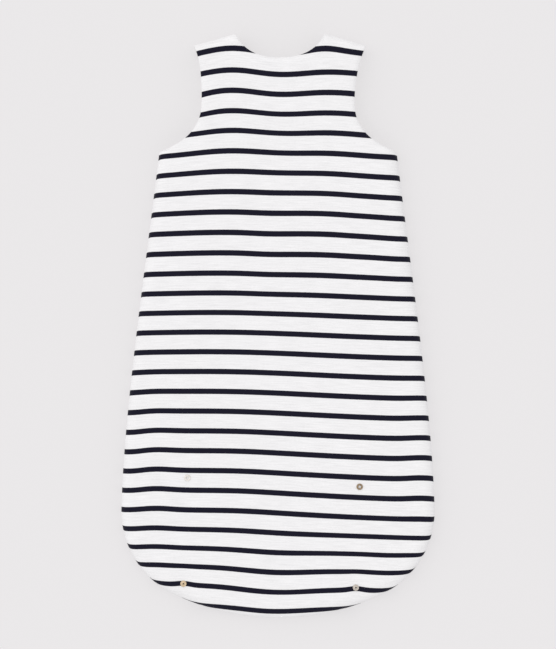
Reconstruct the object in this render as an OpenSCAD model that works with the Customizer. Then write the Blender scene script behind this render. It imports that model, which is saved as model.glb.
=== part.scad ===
// Sleeveless baby sleeping bag, lying flat on its front with the back panel upwards.
// X runs across the bag, +Y towards the neck, +Z away from the surface it lies on.
// The bottom of the bag folds up over the back and snaps there to make the bag shorter.

/* [Outline] */
// Length from the shoulder points to the bottom of the hem
bag_length = 700; // [690:1:710]
// Width at the widest place, near the hem
hem_width = 375.2; // [368:0.1:382]
// Width across the underarm corners
chest_width = 284; // [278:1:290]
// Width between the armholes at their narrowest
yoke_width = 182.4; // [178:0.2:188]
// Width across the shoulder tips
shoulder_width = 206; // [200:1:212]
// Width of the neck opening at the shoulder points
neck_width = 108; // [100:1:116]
// How far the shoulder tips lie below the shoulder points
shoulder_drop = 14; // [10:1:18]
// Depth of the back neckline
back_neck_drop = 29; // [24:1:34]
// Depth of the front neckline
front_neck_drop = 82; // [78:1:86]
// Height of the underarm corners above the middle of the bag
underarm_y = 208; // [204:1:212]
// Radius of the round bottom
hem_radius = 288; // [284:1:296]
// How far the shoulders lean to the right of the hem
shoulder_lean = 2.6; // [0:0.1:4]

/* [Layers] */
// Height of one side of the bag, from its seam to its outer surface
half_loft = 11.5; // [11.5:0.1:12.5]
// Thickness of the outer jersey and of the lining jersey
jersey = 1; // [0.8:0.1:1]
// Thickness of the wadding
wadding = 3.3; // [2.5:0.1:3.4]
// Height from the seam to the inside of the lining
cavity_half = 4.6; // [4.2:0.1:4.6]

/* [Hem fold] */
// Height of the fold line above the bottom of the hem, on the centre line
fold_height = 100.6; // [99.6:0.1:104]
// Tilt of the fold line
fold_tilt = -2.14; // [-3:0.02:-1.7]

/* [Snaps] */
// Place of the left pair of snaps along the fold line
snap_left = -110.9; // [-112.5:0.1:-100]
// Place of the right pair of snaps along the fold line
snap_right = 95.5; // [88:0.1:104]
// Distance of the left pair of snaps from the fold line
snap_reach_left = 63.4; // [58:0.1:64.2]
// Distance of the right pair of snaps from the fold line
snap_reach_right = 60.4; // [58:0.1:64.2]
// Diameter of a snap
snap_d = 7.6; // [7.2:0.1:8]
// Radius of the post on a stud
post_r = 1.68; // [1.5:0.02:1.8]
// Radial clearance of a post in its socket
post_fit = 0.07; // [0.04:0.01:0.1]

/* [Zip] */
// Height of the lower end of the zip above the middle of the bag
zip_foot = -200; // [-202:1:-190]
// Half the thickness of the teeth
tooth_half = 1.3; // [1.1:0.05:1.35]
// Width of one tape
tape_width = 10.3; // [8:0.1:10.5]
// Length of the slider
slider_length = 11.6; // [10:0.2:12]
// Width of the slider
slider_width = 8.8; // [8.4:0.1:9.2]
// Length of the pull tab
pull_length = 21; // [16:0.5:21]

/* [Hidden] */
$fn = 48;

// Colours
WHITE = [0.95, 0.945, 0.95];
LINING = [0.97, 0.97, 0.965];
BATT = [0.9, 0.92, 0.95];
NAVY = [0.13, 0.13, 0.2];
BRONZE = [0.5, 0.42, 0.32];
SILVER = [0.78, 0.77, 0.74];

// Frame of the bag
half_l = bag_length / 2;
half_w = hem_width / 2;
air = 0.3;

// The hem: a wide arc along the bottom, joined to each side by a smaller arc
hem_c = [0, hem_radius - half_l];
corner_y = -222;
corner_r = (pow(hem_radius, 2) - pow(half_w, 2) - pow(hem_c.y - corner_y, 2)) / (2 * (hem_radius - half_w));
corner_c = [half_w - corner_r, corner_y];
join_angle = atan2(hem_c.y - corner_y, corner_c.x);
split_angle = 40;

// The fold line
fold_p = [0, fold_height - half_l];
fold_a = [cos(fold_tilt), sin(fold_tilt)];
fold_n = [-sin(fold_tilt), cos(fold_tilt)];
// Half the gap between two panels that are sewn together, and between the hem and the rest
cut_gap = 0.15;

// Right-hand seam and armhole curves, from the hem up to the shoulder tip
narrow_y = 268;
seam_curve = [
    [half_w, corner_y], [half_w - 2.6, corner_y + 117],
    [chest_width / 2 + 18, underarm_y - 148], [chest_width / 2, underarm_y],
];
scoop_curve = [
    [chest_width / 2, underarm_y], [yoke_width / 2 + 21, underarm_y + 11],
    [yoke_width / 2, narrow_y - 32], [yoke_width / 2, narrow_y],
];
arm_curve = [
    [yoke_width / 2, narrow_y], [yoke_width / 2, narrow_y + 28],
    [shoulder_width / 2 - 8, half_l - shoulder_drop - 16], [shoulder_width / 2, half_l - shoulder_drop],
];
neck_point = [neck_width / 2, half_l];

// Right-hand half necklines, from the shoulder point to the centre
back_neck = [
    neck_point, [neck_width / 2 - 10, half_l - 22],
    [22, half_l - back_neck_drop - 0.5], [0, half_l - back_neck_drop],
];
front_neck = [
    neck_point, [neck_width / 2 - 15, half_l - 34],
    [30, half_l - front_neck_drop], [0, half_l - front_neck_drop],
];

// Zip levels and places
mid_z = half_loft;
zip_edge = 7.5;
tooth_gap = 0.4;
zip_level = cavity_half + jersey + tooth_gap;
tape_z = mid_z - zip_level;
tape_half = 0.3;
teeth_inner = 0.65;
teeth_outer = 2.7;
zip_top = half_l - front_neck_drop - 18;
tape_end = fold_height - half_l + 1.5;
channel_half = tooth_half + 0.15;
plate = 0.95;
slider_y = zip_top - 3 - 0.5 - slider_length / 2;
pull_y = slider_y + 1.5;
pull_z = tape_z - channel_half - plate - 1.2;
pin_r = 0.63;
pin_fit = 0.07;
crown_half = 1.1;
arm_inner = 1.4;
arm_outer = 2.6;
arm_length = 5;
pull_half = 0.6;
pull_hole_r = 1.2;
pull_end = 2.6;
stop_proud = 0.4;
stop_length = 4;
top_stop_length = 3;
overlap = 0.1;
trim_cloth = 0.8;

// Snap levels
top_z = 2 * half_loft;
snap_r = snap_d / 2;
socket_h = 1.4;
stud_base = 0.9;
post_h = 1.2;
fold_z = top_z + (socket_h + stud_base + 0.2) / 2;
snap_gap = 0.03;
stud_bore = 0.8;
ring_bore = 2.2;
ring_flange = 0.6;
ring_depth = 1.2;
collar_r = 2.95;
hole_r = 3.05;
patch_r = 4.8;
patch_thick = 0.3;
patch_drop = 0.57;

// The two labels
neck_label_size = [40, 20];
neck_label_at = [shoulder_lean / 2, half_l - back_neck_drop - 26];
care_label_size = [30, 40];
care_label_at = [56 - half_w, 0];
label_thick = 0.6;
label_gap = 0.05;

// How the surfaces fall away at each kind of edge. Each kind has, for the six surfaces from the outer
// face of the shell to the inner face of the lining, its inset, its rounding and its height at the edge.
LEVELS = [
    half_loft, half_loft - jersey, cavity_half + jersey + air + wadding, cavity_half + jersey + air,
    cavity_half + jersey, cavity_half,
];
open_mid = (half_loft + cavity_half) / 2;
CLOSED = [[0, 1, 3, 4.5, 6.5, 7.5], [14, 13, 13, 8, 10, 9.5], [1.6, 0.15, 2.2, 0.6, 1.6, 0.3]];
OPEN = [
    [0, 0, 4.5, 4.5, 0, 0], [8, 8, 8, 8, 8, 8],
    [open_mid + 1.05, open_mid + 0.1, open_mid + 0.8, open_mid - 0.4, open_mid - 0.2, open_mid - 1.1],
];
ZIP = [
    [0, 0, 12, 12, 0, 0], [16, 16, 10, 10, 16, 16],
    [zip_level + 1.5, zip_level + 0.5, cavity_half + jersey + 2.4, LEVELS[3], LEVELS[4], LEVELS[5]],
];
SEAM = [
    [0, 0, 2, 2, 0, 0], [6, 6, 6, 6, 6, 6],
    [half_loft - 1.7, half_loft - jersey - 1.7, cavity_half + jersey + 1.6, LEVELS[3], LEVELS[4], LEVELS[5]],
];
KINDS = [CLOSED, OPEN, ZIP, SEAM];
closed = 0;
open = 1;
zipped = 2;
seamed = 3;
cut = 4;

// Curves
function bez(p, t) =
    let (s = 1 - t)
    s * s * s * p[0] + 3 * s * s * t * p[1] + 3 * s * t * t * p[2] + t * t * t * p[3];
function clamp(t) = max(0, min(1, t));
function smooth(t) = let (c = clamp(t)) c * c * (3 - 2 * c);
function lean_x(y) = shoulder_lean * smooth((y - 260) / (half_l - 260));
function place(s, p) = [s * p.x + lean_x(p.y), p.y];
function mix(a, b, t) = a + (b - a) * t;
function reversed(q) = [for (i = [len(q) - 1:-1:0]) q[i]];
function polar(c, r, a) = c + r * [cos(a), -sin(a)];

// The fold line meets the small arc of each side
function side_c(s) = [s * corner_c.x, corner_c.y];
function fold_end(s) =
    let (c = side_c(s) - fold_p, h = c * fold_n)
    fold_p + (c * fold_a + s * sqrt(corner_r * corner_r - h * h)) * fold_a;
function fold_angle(s) = asin((corner_y - fold_end(s).y) / corner_r);

// Side of the bag from the fold line to the shoulder tip; side_corner is the underarm's place in it
side_corner = 11;
function side_line(s) = [
    for (p = concat(
        [for (i = [0:1]) polar(corner_c, corner_r, fold_angle(s) * (1 - i / 2))],
        [for (t = [0, 0.13, 0.26, 0.39, 0.52, 0.65, 0.78, 0.89, 0.96]) bez(seam_curve, t)],
        [for (t = [0, 0.09, 0.2, 0.4, 0.6, 0.8]) bez(scoop_curve, t)],
        [for (t = [0, 0.4, 0.75, 0.9, 1]) bez(arm_curve, t)]
    )) place(s, p)
];

// Side of the hem from the bottom arc to the fold line
function hem_side(s) = [
    for (t = [0, 0.04, 0.1, 0.16, 0.22, 0.6, 1])
        place(s, polar(corner_c, corner_r, mix(split_angle, fold_angle(s), t)))
];

// Half of the bottom arc, from the side to the centre, which it misses by the gap
function bottom_line(s, n, gap) = [
    for (p = concat(
        [for (t = [1, 0.75, 0.45, 0]) polar(corner_c, corner_r, mix(join_angle, split_angle, t))],
        [for (i = [n - 1:-1:0]) polar(hem_c, hem_radius, mix(90, join_angle, i / n))]
    )) [s * max(p.x, gap), p.y]
];

// Shoulder of one side from its tip to the neck, and the neckline on to the centre
function shoulder_line(s) =
    let (tip = arm_curve[3])
    [for (t = [0, 0.06, 0.16, 0.28, 0.6, 1]) place(s, mix(tip, neck_point, t))];
function neck_line(s, curve, ts) = [for (t = ts) place(s, bez(curve, t))];
BACK_TS = [0, 0.2, 0.4, 0.6, 0.8, 1];
FRONT_TS = [0, 0.14, 0.3, 0.48, 0.66, 0.8, 0.88];

// Points along the fold line, closer together near the side
function fold_line(s, n) =
    let (p = fold_end(s), w = norm(p - fold_p))
    [for (d = concat([0, 3, 8, 14], [for (i = [1:n - 3]) mix(14, w, i / (n - 3))])) mix(p, fold_p, d / w)];
function fold_half(s, inner) =
    let (p = fold_end(s), q = fold_p + s * inner * fold_a, w = norm(p - q))
    [
        for (d = concat([0, 3, 8, 14], [for (i = [1:6]) mix(14, w - 18, i / 6)], [w - 9, w - 4, w]))
            mix(p, q, d / w)
    ];

// Distances
function seg_dist(p, a, b) = let (d = b - a, t = clamp(((p - a) * d) / (d * d))) norm(p - a - t * d);
function line_dist(p, q) = min([for (i = [0:len(q) - 2]) seg_dist(p, q[i], q[i + 1])]);
function edge_dist(p, lines) = len(lines) == 0 ? 1000 : min([for (q = lines) line_dist(p, q)]);
function rise(d, r) = let (t = clamp(d / r)) sqrt(1 - (1 - t) * (1 - t));

// Height of surface k at a point, from the distances to the closed, open, zipped and seamed edges
function fall(h, kind, k, d) = mix(kind[2][k], h, rise(d - kind[0][k], kind[1][k]));
function height(k, d) =
    fall(fall(fall(fall(LEVELS[k], OPEN, k, d[1]), ZIP, k, d[2]), SEAM, k, d[3]), CLOSED, k, d[0]);

// A closed loop of points moved inwards, by an inset that depends on the kind of each edge
function edge_n(a, b) = let (d = b - a) [-d.y, d.x] / norm(d);
function moved(p, n1, n2, a, b) =
    let (det = n1.x * n2.y - n1.y * n2.x)
    abs(det) < 0.06 ? p + (n1 + n2) / norm(n1 + n2) * (a + b) / 2
        : p + [a * n2.y - b * n1.y, b * n1.x - a * n2.x] / det;
function inset(q, kinds, k) =
    let (n = len(q))
    [
        for (i = [0:n - 1])
            let (h = (i + n - 1) % n, j = (i + 1) % n)
            moved(
                q[i], edge_n(q[h], q[i]), edge_n(q[i], q[j]),
                edge_inset(kinds[h], k), edge_inset(kinds[i], k)
            )
    ];
function edge_inset(kind, k) = kind == cut ? cut_gap : KINDS[kind][0][k];

// A side of the moved loop, from corner a up to corner b, with the points near a corner moved along with it
ease_length = 60;
function ease(d) = max(0, 1 - norm(d) / ease_length);
function eased(q, ring, kinds, k, a, b) =
    let (
        from = q[a], to = q[b % len(q)],
        along_from = ring[a] - from - edge_n(from, q[a + 1]) * edge_inset(kinds[a], k),
        along_to = ring[b % len(q)] - to - edge_n(q[b - 1], to) * edge_inset(kinds[b - 1], k)
    )
    [
        for (i = [a:b - 1])
            i == a ? ring[i] : ring[i] + along_from * ease(q[i] - from) + along_to * ease(q[i] - to)
    ];

// Share of a line's length that lies before each of its points
function run(q, i = 0, acc = [0]) =
    i == len(q) - 1 ? acc / acc[i] : run(q, i + 1, concat(acc, [acc[i] + norm(q[i + 1] - q[i])]));

// Grid of points between four sides; bottom and top run left to right, left and right run upwards
function grid(bottom, top, left, right) =
    let (n = len(bottom) - 1, m = len(left) - 1, us = run(bottom), vs = run(left))
    [
        for (j = [0:m], i = [0:n])
            let (u = us[i], v = vs[j])
            mix(bottom[i], top[i], v) + mix(left[j], right[j], u)
                - mix(mix(bottom[0], bottom[n], u), mix(top[0], top[n], u), v)
    ];
function span(q, from, count) = [for (i = [from:from + count]) q[i % len(q)]];

// One layer of padded cloth between four sides. Each side comes with the kind of each of its edges.
module layer(bottom, top, left, right, kinds, lines, outer) {
    n = len(bottom) - 1;
    m = len(left) - 1;
    inner = outer + 1;
    around = concat(
        span(bottom, 0, n - 1), span(right, 0, m - 1),
        span(reversed(top), 0, n - 1), span(reversed(left), 0, m - 1)
    );
    moved_ring = inset(around, kinds, outer);
    corners = [0, n, n + m, 2 * n + m, 2 * (n + m)];
    ring = [for (i = [0:3], p = eased(around, moved_ring, kinds, outer, corners[i], corners[i + 1])) p];
    flat_grid = grid(
        span(ring, 0, n), reversed(span(ring, n + m, n)),
        reversed(span(ring, 2 * n + m, m)), span(ring, n, m)
    );
    reach = [for (p = flat_grid) [for (set = lines) edge_dist(p, set)]];
    count = len(flat_grid);
    points = [
        for (k = [outer, inner], i = [0:count - 1])
            [flat_grid[i].x, flat_grid[i].y, height(k, reach[i])]
    ];
    row = n + 1;
    rim = concat(
        [for (i = [0:n - 1]) i], [for (j = [0:m - 1]) j * row + n],
        [for (i = [n:-1:1]) m * row + i], [for (j = [m:-1:1]) j * row]
    );
    faces = concat(
        [for (j = [0:m - 1], i = [0:n - 1], f = cell(j * row + i, row)) reversed(f)],
        [for (j = [0:m - 1], i = [0:n - 1], f = cell(count + j * row + i, row)) f],
        [for (i = [0:len(rim) - 1], f = wall(rim[i], rim[(i + 1) % len(rim)], count)) f]
    );
    polyhedron(points, faces, convexity = 6);
}
function cell(a, row) = [[a, a + 1, a + row + 1], [a, a + row + 1, a + row]];
function wall(a, b, count) = [[a, b, b + count], [a, b + count, a + count]];
function kinds_of(kind, count) = [for (i = [1:count]) kind];

// Back panel above the fold line
module back_layer(outer) {
    left = side_line(-1);
    right = side_line(1);
    bottom = concat(fold_line(-1, 10), span(reversed(fold_line(1, 10)), 1, 9));
    right_neck = reversed(neck_line(1, back_neck, BACK_TS));
    neck = concat(neck_line(-1, back_neck, BACK_TS), span(right_neck, 1, 4));
    top = concat(span(shoulder_line(-1), 0, 4), neck, span(reversed(shoulder_line(1)), 1, 4));
    up = concat(kinds_of(closed, side_corner), kinds_of(open, len(left) - 1 - side_corner));
    kinds = concat(
        kinds_of(cut, 20), up,
        kinds_of(closed, 5), kinds_of(open, 10), kinds_of(closed, 5), reversed(up)
    );
    lines = [
        [span(left, 0, side_corner), span(right, 0, side_corner), shoulder_line(-1), shoulder_line(1)],
        [
            span(left, side_corner, len(left) - 1 - side_corner),
            span(right, side_corner, len(right) - 1 - side_corner), neck,
        ],
        [], [],
    ];
    translate([0, 0, mid_z]) layer(bottom, top, left, right, kinds, lines, outer);
}

// One half of the front above the fold line; s is -1 for the left half and 1 for the right half
function zip_side(s) =
    let (
        low = fold_p + s * zip_edge / fold_a.x * fold_a,
        high = [s * zip_edge, half_l - front_neck_drop + 0.4]
    )
    [for (v = run(side_line(s))) mix(low, high, v)];
module front_layer(s, outer) {
    side = side_line(s);
    middle = zip_side(s);
    m = len(side) - 1;
    neck = neck_line(s, front_neck, FRONT_TS);
    top = concat(span(shoulder_line(s), 0, 4), neck, [middle[m]]);
    up_side = concat(kinds_of(closed, side_corner), kinds_of(open, m - side_corner));
    up_middle = kinds_of(zipped, m);
    over = concat(kinds_of(closed, 5), kinds_of(open, len(top) - 6));
    lines = [
        [span(side, 0, side_corner), shoulder_line(s)],
        [span(side, side_corner, m - side_corner), concat(neck, [middle[m]])],
        [middle],
        [],
    ];
    bottom = fold_half(s, zip_edge / fold_a.x);
    translate([0, 0, mid_z]) mirror([0, 0, 1])
        half_layer(s, side, middle, bottom, top, up_side, up_middle, over, lines, outer, cut);
}

// A half panel: side and middle run upwards, bottom and top run from the side to the middle
module half_layer(s, side, middle, bottom, top, up_side, up_middle, over, lines, outer, under) {
    n = len(bottom) - 1;
    if (s < 0)
        layer(
            bottom, top, side, middle,
            concat(kinds_of(under, n), up_middle, reversed(over), reversed(up_side)), lines, outer
        );
    else
        layer(
            reversed(bottom), reversed(top), middle, side,
            concat(kinds_of(under, n), up_side, over, reversed(up_middle)), lines, outer
        );
}

// Back panel below the fold line
module hem_back_layer(outer) {
    left = hem_side(-1);
    right = hem_side(1);
    bottom = concat(bottom_line(-1, 7, 0), span(reversed(bottom_line(1, 7, 0)), 1, 9));
    top = concat(fold_line(-1, 10), span(reversed(fold_line(1, 10)), 1, 9));
    up = kinds_of(closed, len(left) - 1);
    kinds = concat(kinds_of(closed, 20), up, kinds_of(cut, 20), up);
    translate([0, 0, mid_z])
        layer(bottom, top, left, right, kinds, [[bottom, left, right], [], [], []], outer);
}

// One half of the front below the fold line
module hem_front_layer(s, outer) {
    side = hem_side(s);
    bottom = bottom_line(s, 9, cut_gap);
    top = fold_half(s, cut_gap);
    low = bottom[len(bottom) - 1];
    middle = [for (v = run(side)) mix(low, top[len(top) - 1], v)];
    n = len(bottom) - 1;
    m = len(side) - 1;
    translate([0, 0, mid_z]) mirror([0, 0, 1])
        half_layer(
            s, side, middle, bottom, top, kinds_of(closed, m), kinds_of(seamed, m), kinds_of(cut, n),
            [[bottom, side], [], [], [middle]], outer, closed
        );
}

module shell_hole(along, reach) {
    at_fold(along, reach) translate([0, 0, top_z - 3]) cylinder(r = hole_r, h = 6);
}
module at_fold(along, reach) {
    p = fold_p + along * fold_a + reach * fold_n;
    translate([p.x, p.y, 0]) children();
}

module back_shell() {
    color(WHITE) difference() {
        back_layer(0);
        shell_hole(snap_left, snap_reach_left);
        shell_hole(snap_right, snap_reach_right);
    }
}
module back_wadding() { color(BATT) back_layer(2); }
module back_lining() { color(LINING) back_layer(4); }
module front_left_shell() { color(WHITE) front_layer(-1, 0); }
module front_left_wadding() { color(BATT) front_layer(-1, 2); }
module front_left_lining() { color(LINING) front_layer(-1, 4); }
module front_right_shell() { color(WHITE) front_layer(1, 0); }
module front_right_wadding() { color(BATT) front_layer(1, 2); }
module front_right_lining() { color(LINING) front_layer(1, 4); }
module hem_back_shell() {
    color(WHITE) difference() {
        hem_back_layer(0);
        shell_hole(snap_left, -snap_reach_left);
        shell_hole(snap_right, -snap_reach_right);
    }
}
module hem_back_wadding() { color(BATT) hem_back_layer(2); }
module hem_back_lining() { color(LINING) hem_back_layer(4); }
module hem_front_left_shell() { color(WHITE) hem_front_layer(-1, 0); }
module hem_front_left_wadding() { color(BATT) hem_front_layer(-1, 2); }
module hem_front_left_lining() { color(LINING) hem_front_layer(-1, 4); }
module hem_front_right_shell() { color(WHITE) hem_front_layer(1, 0); }
module hem_front_right_wadding() { color(BATT) hem_front_layer(1, 2); }
module hem_front_right_lining() { color(LINING) hem_front_layer(1, 4); }

// Zip: each half has a tape sewn between shell and lining, and a row of teeth on its inner edge
module zip_bar(s, from_x, to_x, half, low, high) {
    x = s < 0 ? -to_x : from_x;
    translate([x, low, tape_z - half]) cube([to_x - from_x, high - low, 2 * half]);
}
module zip_tape(s) { zip_bar(s, teeth_outer, teeth_outer + tape_width, tape_half, tape_end, zip_top + 5); }
module zip_teeth(s) {
    high = zip_top - top_stop_length - tooth_gap;
    zip_bar(s, teeth_inner, teeth_outer, tooth_half, zip_foot + stop_length, high);
}
module zip_top_stop(s) {
    zip_bar(s, teeth_inner, teeth_outer, tooth_half + stop_proud, zip_top - top_stop_length, zip_top);
}
module zip_tape_left() { color(WHITE) zip_tape(-1); }
module zip_tape_right() { color(WHITE) zip_tape(1); }
module zip_teeth_left() { color(WHITE) zip_teeth(-1); }
module zip_teeth_right() { color(WHITE) zip_teeth(1); }
module zip_top_stop_left() { color(WHITE) zip_top_stop(-1); }
module zip_top_stop_right() { color(WHITE) zip_top_stop(1); }
module zip_bottom_stop() {
    half = tooth_half + stop_proud;
    color(WHITE) translate([-teeth_outer, zip_foot, tape_z - half])
        cube([2 * teeth_outer, stop_length, 2 * half]);
}

// Rounded rectangle around the origin
module rounded(w, l, r) {
    square([w - 2 * r, l], center = true);
    square([w, l - 2 * r], center = true);
    for (x = [-1, 1], y = [-1, 1]) translate([x * (w / 2 - r), y * (l / 2 - r)]) circle(r);
}
module slider_plate(z) {
    translate([0, slider_y, z]) linear_extrude(plate) rounded(slider_width, slider_length, 2);
}
module zip_slider() {
    flange = 0.5;
    flange_half = 0.4;
    flange_length = slider_length - 4;
    flange_x = slider_width / 2 - flange_half;
    bridge_half = 0.5;
    crown_r = 1.15;
    outer_z = tape_z - channel_half - plate;
    low = tape_z - channel_half - overlap;
    high = tape_z + channel_half + overlap;
    color(SILVER) difference() {
        union() {
            slider_plate(outer_z);
            slider_plate(tape_z + channel_half);
            translate([-bridge_half, slider_y + 1, low])
                cube([2 * bridge_half, 4, high - low]);
            for (s = [-1, 1], z = [low, high - flange])
                translate([s * flange_x - flange_half, slider_y - flange_length / 2, z])
                    cube([2 * flange_half, flange_length, flange]);
            translate([-crown_half, pull_y - 1.9, pull_z])
                cube([2 * crown_half, 3.8, outer_z - pull_z + overlap]);
            translate([-crown_half, pull_y, pull_z]) rotate([0, 90, 0])
                cylinder(r = crown_r, h = 2 * crown_half);
        }
        translate([-arm_outer, pull_y, pull_z]) rotate([0, 90, 0])
            cylinder(r = pin_r + pin_fit, h = 2 * arm_outer);
    }
}
module zip_pull() {
    hole_y = pull_y - pull_length + pull_end;
    arm = arm_outer - arm_inner;
    eye_r = 0.8;
    color(SILVER) {
        translate([-arm_outer, pull_y, pull_z]) rotate([0, 90, 0]) cylinder(r = pin_r, h = 2 * arm_outer);
        for (x = [-arm_outer, arm_inner]) {
            translate([x, pull_y, pull_z]) rotate([0, 90, 0]) cylinder(r = eye_r, h = arm);
            translate([x, pull_y - arm_length, pull_z - pull_half]) cube([arm, arm_length, 2 * pull_half]);
        }
        translate([0, 0, pull_z - pull_half]) linear_extrude(2 * pull_half) difference() {
            union() {
                translate([-arm_outer, hole_y])
                    square([2 * arm_outer, pull_y - arm_length + 1 - hole_y]);
                translate([0, hole_y]) circle(arm_outer);
            }
            translate([0, hole_y]) circle(pull_hole_r);
        }
    }
}

// Strip of lining behind the zip, sewn down along its left edge
module zip_guard() {
    low = mid_z - cavity_half + 0.05;
    high = tape_z + channel_half + plate + 0.5;
    low_top = low + trim_cloth;
    high_top = high + trim_cloth;
    top = zip_top - 2;
    color(LINING) translate([0, top, 0]) rotate([90, 0, 0]) linear_extrude(top - tape_end)
        polygon([
            [-28, low], [-20, low], [-11, high], [15, high],
            [15, high_top], [-11.4, high_top], [-20.4, low_top], [-28, low_top],
        ]);
}

// Folded tab over the upper ends of the tapes
module zip_garage() {
    low = tape_z - tooth_half - 1;
    high = tape_z + tooth_half + 0.3;
    top = high + trim_cloth;
    from = zip_top + 1.5;
    to = half_l - front_neck_drop + 1.5;
    inner = to - trim_cloth;
    half = zip_edge - air;
    color(WHITE) translate([-half, 0, 0]) rotate([90, 0, 90]) linear_extrude(2 * half)
        polygon([
            [from, low], [inner, low], [to, low + trim_cloth], [to, high], [inner, top],
            [from, top], [from, high], [inner, high], [inner, low + trim_cloth], [from, low + trim_cloth],
        ]);
}

// Snaps. A socket and a stud are each held through the shell by a ring with a collar, over a patch.
module snap_socket(along, reach) {
    bore = post_r + post_fit;
    lip = socket_h - snap_gap;
    at_fold(along, reach) translate([0, 0, top_z + snap_gap]) rotate_extrude()
        polygon([
            [bore, 0], [snap_r, 0], [snap_r, 0.7], [snap_r - 0.4, 1.15], [snap_r - 1, lip],
            [bore + 0.3, lip], [bore, 1.1],
        ]);
}
module snap_stud(along, reach) {
    base = stud_base - snap_gap;
    tip = base + post_h;
    round_r = 0.4;
    at_fold(along, reach) translate([0, 0, top_z + snap_gap]) rotate_extrude()
        polygon([
            [stud_bore, 0], [snap_r, 0], [snap_r, 0.4], [snap_r - 0.5, base], [post_r, base],
            [post_r, stud_base + post_h - round_r], [post_r - round_r, tip], [stud_bore, tip],
        ]);
}
module snap_ring(along, reach) {
    depth = jersey + ring_depth;
    at_fold(along, reach) translate([0, 0, top_z - depth]) rotate_extrude()
        polygon([
            [ring_bore, 0], [snap_r, 0], [snap_r, ring_flange],
            [collar_r, ring_flange], [collar_r, depth], [ring_bore, depth],
        ]);
}
module snap_patch(along, reach) {
    at_fold(along, reach) translate([0, 0, top_z - jersey - patch_drop])
        linear_extrude(patch_thick) difference() {
            circle(patch_r);
            circle(hole_r);
        }
}
module snap_socket_left() { color(SILVER) snap_socket(snap_left, snap_reach_left); }
module snap_socket_right() { color(BRONZE) snap_socket(snap_right, snap_reach_right); }
module snap_socket_ring_left() { color(SILVER) snap_ring(snap_left, snap_reach_left); }
module snap_socket_ring_right() { color(BRONZE) snap_ring(snap_right, snap_reach_right); }
module snap_stud_left() { color(BRONZE) snap_stud(snap_left, -snap_reach_left); }
module snap_stud_right() { color(SILVER) snap_stud(snap_right, -snap_reach_right); }
module snap_stud_ring_left() { color(BRONZE) snap_ring(snap_left, -snap_reach_left); }
module snap_stud_ring_right() { color(SILVER) snap_ring(snap_right, -snap_reach_right); }
module snap_patch_upper_left() { color(WHITE) snap_patch(snap_left, snap_reach_left); }
module snap_patch_upper_right() { color(WHITE) snap_patch(snap_right, snap_reach_right); }
module snap_patch_lower_left() { color(WHITE) snap_patch(snap_left, -snap_reach_left); }
module snap_patch_lower_right() { color(WHITE) snap_patch(snap_right, -snap_reach_right); }

// Blank labels sewn to the inside of the back lining
module label(at, size) {
    translate([at.x - size.x / 2, at.y - size.y / 2, mid_z + cavity_half - label_thick - label_gap])
        cube([size.x, size.y, label_thick]);
}
module neck_label() { color(LINING) label(neck_label_at, neck_label_size); }
module care_label() { color(LINING) label(care_label_at, care_label_size); }

back_shell();
back_wadding();
back_lining();
front_left_shell();
front_left_wadding();
front_left_lining();
front_right_shell();
front_right_wadding();
front_right_lining();
hem_back_shell();
hem_back_wadding();
hem_back_lining();
hem_front_left_shell();
hem_front_left_wadding();
hem_front_left_lining();
hem_front_right_shell();
hem_front_right_wadding();
hem_front_right_lining();
zip_tape_left();
zip_tape_right();
zip_teeth_left();
zip_teeth_right();
zip_top_stop_left();
zip_top_stop_right();
zip_bottom_stop();
zip_slider();
zip_pull();
zip_guard();
zip_garage();
snap_socket_left();
snap_socket_right();
snap_socket_ring_left();
snap_socket_ring_right();
snap_stud_left();
snap_stud_right();
snap_stud_ring_left();
snap_stud_ring_right();
snap_patch_upper_left();
snap_patch_upper_right();
snap_patch_lower_left();
snap_patch_lower_right();
neck_label();
care_label();
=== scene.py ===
import math

import bpy
import numpy as np
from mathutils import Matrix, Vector, noise


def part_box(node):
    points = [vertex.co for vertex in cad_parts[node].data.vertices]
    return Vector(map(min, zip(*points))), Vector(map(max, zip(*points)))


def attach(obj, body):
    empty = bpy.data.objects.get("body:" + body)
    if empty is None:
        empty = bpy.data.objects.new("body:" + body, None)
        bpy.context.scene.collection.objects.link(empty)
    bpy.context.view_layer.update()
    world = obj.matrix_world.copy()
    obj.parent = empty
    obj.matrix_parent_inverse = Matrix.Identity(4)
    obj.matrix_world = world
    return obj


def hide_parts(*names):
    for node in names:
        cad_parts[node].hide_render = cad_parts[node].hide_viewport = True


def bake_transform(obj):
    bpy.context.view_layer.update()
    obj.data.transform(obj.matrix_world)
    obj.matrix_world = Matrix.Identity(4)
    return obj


# Looks of the striped baby sleeping bag. Lengths are in millimetres until a mesh is made.
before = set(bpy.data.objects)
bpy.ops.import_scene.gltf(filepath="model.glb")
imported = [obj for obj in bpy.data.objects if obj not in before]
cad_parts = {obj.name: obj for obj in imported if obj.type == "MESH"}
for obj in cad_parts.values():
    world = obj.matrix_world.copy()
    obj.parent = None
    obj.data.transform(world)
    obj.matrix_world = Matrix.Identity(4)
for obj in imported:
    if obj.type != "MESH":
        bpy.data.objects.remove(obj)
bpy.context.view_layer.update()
MM = 0.001
HANDS = (("left", -1), ("right", 1))

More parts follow.
